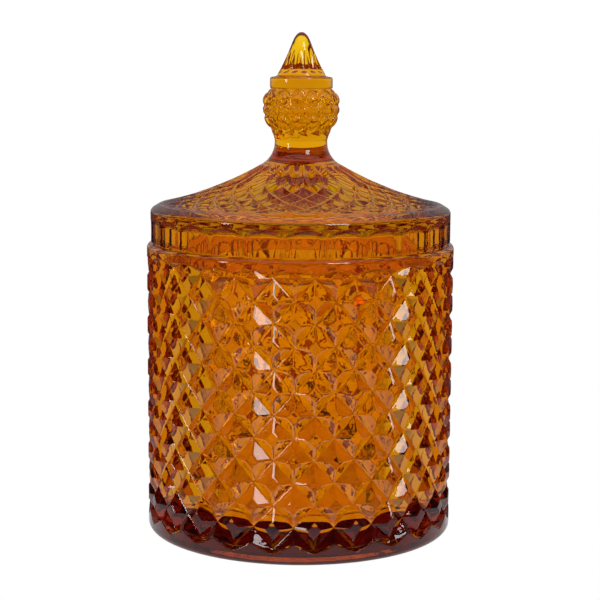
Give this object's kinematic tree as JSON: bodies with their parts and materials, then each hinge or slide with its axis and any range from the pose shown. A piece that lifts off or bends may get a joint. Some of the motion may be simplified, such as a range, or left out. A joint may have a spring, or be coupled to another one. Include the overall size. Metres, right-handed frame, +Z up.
{
  "type": "apothecary jar",
  "caption": "Round pressed-glass apothecary jar with a diamond-relief body and a lift-off domed lid that carries a ball-and-spire finial.",
  "frame": {"origin": "centre of the foot, on the plane that the jar stands on", "axes": "+Z up along the jar's axis, from foot to finial tip; +X and +Y across the jar"},
  "size_m": [0.09, 0.09, 0.146],
  "materials": {
    "body_glass": "clear amber pressed glass, fire-polished",
    "lid_glass": "clear amber pressed glass, fire-polished"
  },
  "bodies": {
    "jar": {"jar_body": "body_glass"},
    "lid": {"lid": "lid_glass"}
  },
  "joints": [
    {"name": "lid_lift", "type": "slide", "parent": "jar", "child": "lid", "axis": [0, 0, 1], "range_m": [0, 0.08]}
  ]
}
